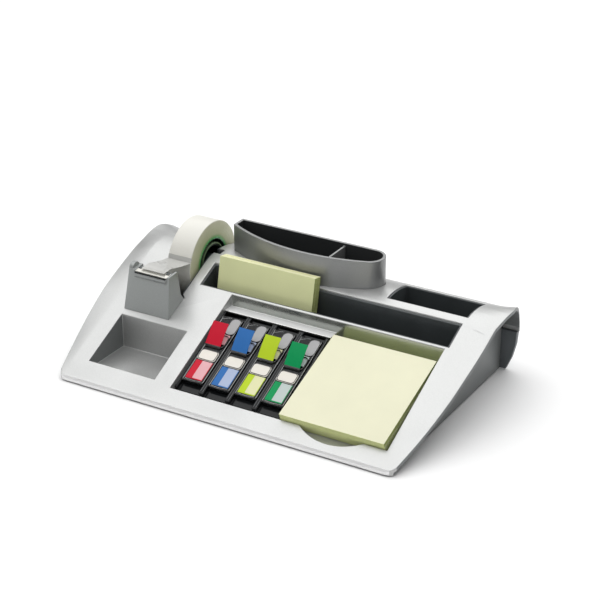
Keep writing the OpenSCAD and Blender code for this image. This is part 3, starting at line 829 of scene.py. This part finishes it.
# Painted shade: the right sides of both stacks are darker because they turn from the light.
SHADED_CUT_SIDE = paper("painted_shade_paper_side", (0.33, 0.38, 0.13))
pad_foot = Vector((0, PAD_HEIGHT * math.sin(math.radians(PAD_TILT)), 0)) * MM
pad_sheets = sheet_stack("pad", NOTE, NOTE, PAD_HEIGHT, 34, PAD_TILT,
                         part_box("note_pad")[0] + pad_foot, jitter=0.3, seed=3)
add_piece("note_pad_sheets", pad_sheets, "note_pad", [PAD_TOP, PAD_EDGE, SHADED_CUT_SIDE],
          ["note_pad"], 0.0, 30)
block_foot = Vector((0, BLOCK_DEPTH * math.cos(math.radians(BLOCK_LEAN)), 0)) * MM
block_sheets = sheet_stack("block", NOTE, BLOCK_HEIGHT, BLOCK_DEPTH, 26, 90 - BLOCK_LEAN,
                           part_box("note_block")[0] + block_foot, jitter=0.25, seed=5)
add_piece("standing_note_block", block_sheets, "note_block",
          [BLOCK_FRONT, BLOCK_EDGE, SHADED_CUT_SIDE], ["note_block"], 0.0, 30)
print("sheets:", len(pad_sheets.polygons) // len(SLAB), len(block_sheets.polygons) // len(SLAB))

# %% [markdown]
# ## The index bay
# A glossy black insert holds the flag dispensers in four channels. It is thin sheet, drawn hot over
# a mould, so between the channels its ribs are hollow folds. Two thin raised lines on each inner
# rib, and one on each outer rib, are a lighter grey than the insert: a painted highlight where the
# folds catch the light. A line is a curve with a round section, turned into a mesh.

# %% Measure in the bay and draw thin lines
TILT = math.radians(25.3)
BAY_FOOT = -4.0
TUBE_ROUNDS = 3


def bay(x, along, up):
    y = along * math.cos(TILT) - up * math.sin(TILT)
    z = BAY_FOOT + along * math.sin(TILT) + up * math.cos(TILT)
    return at(x, y, z)


def tube(name, path, radius, closed=False):
    curve = bpy.data.curves.new(name, "CURVE")
    curve.dimensions = "3D"
    line = curve.splines.new("POLY")
    line.points.add(len(path) - 1)
    for spot, point in zip(line.points, path):
        spot.co = (*point, 1)
    line.use_cyclic_u = closed
    curve.bevel_depth = radius * MM
    curve.bevel_resolution = TUBE_ROUNDS
    curve.use_fill_caps = True
    holder = bpy.data.objects.new(name, curve)
    scene.collection.objects.link(holder)
    bpy.context.view_layer.update()
    view = bpy.context.evaluated_depsgraph_get()
    mesh = bpy.data.meshes.new_from_object(holder.evaluated_get(view))
    bpy.data.objects.remove(holder)
    return mesh


print("the bay starts at, mm:", [round(v / MM, 1) for v in bay(0, 0, 0)])

# %% Finish the insert
CHANNELS = 4

add_piece("index_bay_insert", node_mesh("index_insert"), "housing", [INSERT],
          ["index_insert"], 0.3)
FOLD_GLINT = moulded("painted_fold_glint", (0.085, 0.088, 0.092), rough=0.25, mottle=0.1, grain=600,
               depth=0.01, wear_and_sheen=0.3)
insert_low, insert_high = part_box("index_insert")
RIBS = [(insert_low.x + (insert_high.x - insert_low.x) * k / CHANNELS) / MM
        for k in range(CHANNELS + 1)]
FOLDS = {0: (0.4,), CHANNELS: (-0.4,)}
for k, x in enumerate(RIBS):
    for shift in FOLDS.get(k, (-0.9, 0.9)):
        line = [bay(x + shift, s, 4.25) for s in (23.2, 40, 60, 82, 89.0)]
        name = "insert_fold_%d_%s" % (k, "a" if shift < 0 else "b")
        add_piece(name, tube(name, line, 0.2), "housing", [FOLD_GLINT])
print("ribs at x =", [round(x, 1) for x in RIBS])

# %% [markdown]
# ## The flag dispensers
# Each dispenser is a clear case with a stack of film flags inside. From the front there is a clear
# end, a strip half in full colour and half in a pale tint, a cream label with a clear rounded
# frame, and then the pulled flag, leaning back over a clear loop. Behind it the flags run on under
# a grey rounded end. The maker's print is left out. Real clear plastic would be slow to render, and
# over a black insert it looks nearly black anyway, with bright glints on its rounded edges. So the
# case gets a dark, slightly see-through finish, and the glints are thin bright lines.

# %% Make the film and clear finishes
FLAG_TONES = {"red": ((0.57, 0.008, 0.030), (0.76, 0.42, 0.45)),
              "blue": ((0.030, 0.150, 0.430), (0.40, 0.47, 0.64)),
              "lime": ((0.47, 0.63, 0.022), (0.72, 0.72, 0.43)),
              "green": ((0.0, 0.285, 0.085), (0.50, 0.57, 0.55))}


def film(name, colour):
    return moulded(name, colour, rough=0.45, mottle=0.03, grain=800, gloss=0.15)


def clear(name, colour, rough, opacity, gloss):
    material = moulded(name, colour, rough, mottle=0.08, grain=300, depth=0.006, wear_and_sheen=0.2,
                       gloss=gloss)
    material.node_tree.nodes["Principled BSDF"].inputs["Alpha"].default_value = opacity
    return material


SMOKE = clear("smoky_clear_plastic", (0.010, 0.011, 0.012), 0.07, 0.85, 0.2)
FRAME = clear("dark_clear_rim", (0.02, 0.02, 0.02), 0.10, 1.0, 0.9)
GLINT = moulded("painted_glint_line", (0.46, 0.47, 0.47), rough=0.18, mottle=0.1, grain=500,
                depth=0.01)
LABEL = paper("cream_label", (0.80, 0.765, 0.70))
GREY_END = moulded("grey_translucent_end", (0.32, 0.32, 0.325), rough=0.25, grain=700,
                   depth=0.04, coat=0.3)
print("flag colours:", list(FLAG_TONES))

# %% [markdown]
# Film, label and grey end are thin plates with rounded corners, and the pulled flag is a bent
# sheet. All are drawn in the sloping plane of the bay: x across, s along the slope, and a height.

# %% Make the tools for plates
TOP = 5.14
CORNER_STEPS = 6


def rounded_outline(x0, x1, s0, s1, radius):
    corners = [(x0 + radius, s0 + radius, 180), (x1 - radius, s0 + radius, 270),
               (x1 - radius, s1 - radius, 0), (x0 + radius, s1 - radius, 90)]
    outline = []
    for x, s, start in corners:
        for k in range(CORNER_STEPS + 1):
            turn = math.radians(start + 90 * k / CORNER_STEPS)
            outline.append((x + radius * math.cos(turn), s + radius * math.sin(turn)))
    return outline


def plate(name, outline, thick):
    count = len(outline)
    points = [bay(x, s, TOP) for x, s in outline] + [bay(x, s, TOP + thick) for x, s in outline]
    faces = [tuple(range(count - 1, -1, -1)), tuple(range(count, 2 * count))]
    faces += [(k, (k + 1) % count, (k + 1) % count + count, k + count) for k in range(count)]
    return mesh_of(name, points, faces)


print("plates lie", TOP, "mm above the floor line of the bay")

# %% Make the tools for bent sheets and clear edges
def bent_sheet(name, x0, x1, line, thick):
    points = []
    for lift in (0.0, thick):
        for s, up in line:
            points.append(bay(x0, s - lift * 0.35, up + lift))
            points.append(bay(x1, s - lift * 0.35, up + lift))
    count = 2 * len(line)
    faces = []
    for a in range(0, count - 2, 2):
        faces.append((a, a + 2, a + 3, a + 1))
        faces.append((a + count, a + count + 1, a + count + 3, a + count + 2))
        faces.append((a, a + count, a + count + 2, a + 2))
        faces.append((a + 1, a + 3, a + count + 3, a + count + 1))
    faces.append((0, 1, count + 1, count))
    faces.append((count - 2, 2 * count - 2, 2 * count - 1, count - 1))
    return mesh_of(name, points, faces)


def clear_edge(name, body, path, radius, finish, closed=False):
    add_piece(name, tube(name, path, radius, closed), body, [finish])


def arc(x, width, s, bow, up, turn=math.pi):
    return [bay(x + width * k / 8, s + bow * math.sin(turn * k / 8), up) for k in range(9)]


print("an arc has", len(arc(0, 1, 0, 1, TOP)), "points")

# %% [markdown]
# Two functions dress a dispenser from its left edge: one lays the plates, the other pulls the flag
# and draws the clear edges. We could copy one finished dispenser three times, but each has its own
# nodes to replace and its own body to ride, so it is simpler to build it four times.

# %% Lay the film, the label and the grey end
FILM_WIDTH, FULL_WIDTH = 13.2, 5.0


def lay_plates(colour, body, x0, full_film, pale_film):
    flag_slot = "flag_" + colour
    left = x0 + 1.5
    right = left + FILM_WIDTH
    split = left + FULL_WIDTH
    plates = (
        ("full_strip", left, split, 31.3, 46.4, 0.10, 0.3, full_film, flag_slot),
        ("pale_strip", split + 0.05, right, 31.3, 46.4, 0.10, 0.3, pale_film, flag_slot),
        ("front_edge", left + 0.1, right - 0.1, 30.4, 31.2, 0.16, 0.35, full_film, flag_slot),
        ("right_edge", right - 0.5, right, 31.4, 46.2, 0.14, 0.2, full_film, flag_slot),
        ("label", left - 0.5, right + 0.1, 46.9, 55.8, 0.45, 2.2, LABEL, "note_paper"),
        ("rear_strip", left + 6.3, right - 0.4, 63.0, 71.4, 0.10, 0.3, pale_film, flag_slot),
        ("rear_end", x0 + 8.4, x0 + 16.0, 71.9, 85.8, 0.30, 3.2, GREY_END, "clear_plastic"))
    for part, a, b, s0, s1, thick, radius, material, slot_name in plates:
        outline = rounded_outline(a, b, s0, s1, radius)
        add_piece(colour + "_" + part, plate(part, outline, thick), body, [material])
        if part == "label":
            inner = rounded_outline(a + 0.35, b - 0.6, s0 + 0.5, s1 - 0.1, radius)
            ring = [bay(x, s, TOP + 0.5) for x, s in inner]
            clear_edge(colour + "_label_frame", body, ring, 0.27, FRAME, closed=True)
        if part == "rear_end":
            ring = [bay(x, s, TOP + 0.25) for x, s in outline]
            clear_edge(colour + "_rear_frame", body, ring, 0.28, FRAME, closed=True)


print("film:", FILM_WIDTH, "mm wide, of which in full colour:", FULL_WIDTH, "mm")

# %% Pull the flag and draw the clear edges
FLAG_WIDTH = 12
BEND = (59.76, 6.7)
REST_OF_FLAG = (15.19, 6.45)
FLAG_BOW = 0.35
LOOP = ((10.2, 70.1), (12.3, 70.2), (13.6, 69.6), (14.4, 68.4), (14.6, 66.0), (14.6, 62.6),
        (14.2, 61.0), (13.2, 60.0))
EDGE, SHINE = 0.3, 0.13


def pull_flag(colour, body, x0, full_film):
    left = x0 + 1.3
    root = [(58.4, 4.2), (59.0, 5.4), BEND]
    tab = [(BEND[0] + REST_OF_FLAG[0] * k / 8,
            BEND[1] + REST_OF_FLAG[1] * k / 8 + FLAG_BOW * math.sin(math.pi * k / 8))
           for k in range(9)]
    add_piece(colour + "_pulled_flag", bent_sheet("tab", left, left + FLAG_WIDTH, tab, 0.22),
              body, [full_film], ["flags_" + colour])
    add_piece(colour + "_flag_root", bent_sheet("root", left, left + FLAG_WIDTH, root, 0.2),
              body, [FRAME])


def draw_edges(colour, body, x0):
    ring = [bay(x0 + x, s, TOP + 0.45) for x, s in LOOP]
    clear_edge(colour + "_pull_loop", body, ring, 0.34, FRAME)
    for side, x in (("left", x0 + 0.5), ("right", x0 + 15.9)):
        rail = [bay(x, s, TOP) for s in (28.8, 30, 50, 70, 85.0, 85.9)]
        clear_edge(colour + "_rail_" + side, body, rail, EDGE, FRAME)
        # Painted highlights: light grey lines beside the rails, on the nose and at the heel stand
        # in for glints on the clear edges.
        shine = [bay(x + 0.32, s, TOP + 0.12) for s in (29.4, 40, 57, 71, 84.8)]
        clear_edge(colour + "_rail_glint_" + side, body, shine, SHINE, GLINT)
    clear_edge(colour + "_nose", body, arc(x0 + 1, 14.4, 29.2, -0.7, TOP), EDGE, FRAME)
    clear_edge(colour + "_nose_glint", body, arc(x0 + 2, 12.4, 29.9, -0.6, TOP + 0.15), SHINE,
               GLINT)
    heel = arc(x0 + 1.2, 6.4, 83.2, 2.4, TOP + 0.12, math.pi / 2)
    clear_edge(colour + "_heel_glint", body, heel, SHINE, GLINT)


print("the pulled flag is", FLAG_WIDTH, "mm wide")

# %% Build the four dispensers
def dispenser(colour):
    body = "dispenser_" + colour
    x0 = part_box("flag_case_" + colour)[0].x / MM
    full, pale = FLAG_TONES[colour]
    full_film = film(colour + "_film", full)
    pale_film = film(colour + "_pale_film", pale)
    for part, width in (("case", 0.3), ("cover", 0.12)):
        node = "flag_%s_%s" % (part, colour)
        add_piece(colour + "_" + part, node_mesh(node), body, [SMOKE], [node],
                  width)
    lay_plates(colour, body, x0, full_film, pale_film)
    pull_flag(colour, body, x0, full_film)
    draw_edges(colour, body, x0)
    return x0


print("dispensers at x =", [round(dispenser(colour), 1) for colour in FLAG_TONES])

# %% [markdown]
# ## What the table hides
# Six rubber feet keep the organiser from sliding, a steel plate under the rear keeps it from
# tipping, and eight screws hold it all together. Hardly anyone sees them, but whoever turns the
# piece over should find real ones: feet with a soft rim and a hollow middle, and countersunk
# screws with a bright edge round the head, part wear and part painted highlight.

# %% Spin the feet, and copy the screws and the plate
FEET = [(x, y) for x in (-111.5, 0, 111.5) for y in (16, 155)]
FOOT_PROFILE = [(0.35, 0.0), (0.35, 3.4), (0.05, 3.9), (0.0, 4.4), (0.0, 5.4), (0.12, 5.8),
                (0.35, 6.0), (1.48, 6.0), (1.48, 0.0)]
RUBBER = moulded("foot_rubber", (0.03, 0.03, 0.031), rough=0.78, mottle=0.15, flake=0.05,
                 grain=900, depth=0.3, wear_and_sheen=0.1)
PLATE_STEEL = moulded("rolled_steel", (0.30, 0.30, 0.31), rough=0.38, metal=0.9, mottle=0.12,
                      flake=0.1, grain=400, depth=0.2, wear_and_sheen=0.3)


def joined(name, meshes):
    work = bmesh.new()
    for mesh in meshes:
        work.from_mesh(mesh)
    bmesh.ops.remove_doubles(work, verts=work.verts, dist=0.000001)
    result = bpy.data.meshes.new(name)
    work.to_mesh(result)
    work.free()
    return result


feet = joined("feet", [spun("foot", FOOT_PROFILE, at(x, y, 0), "Z", 48, closed=False)
                       for x, y in FEET])
add_piece("rubber_foot_set", feet, "housing", [RUBBER], ["rubber_feet"], 0.0, 35)
for node, name in (("base_screws", "countersunk_screws"), ("tower_screws", "tower_screw_pair")):
    add_piece(name, node_mesh(node), "housing", [STEEL], [node], 0.12, 35)
add_piece("steel_ballast", node_mesh("ballast_plate"), "housing", [PLATE_STEEL],
          ["ballast_plate"], 0.4)
print("feet:", len(FEET))
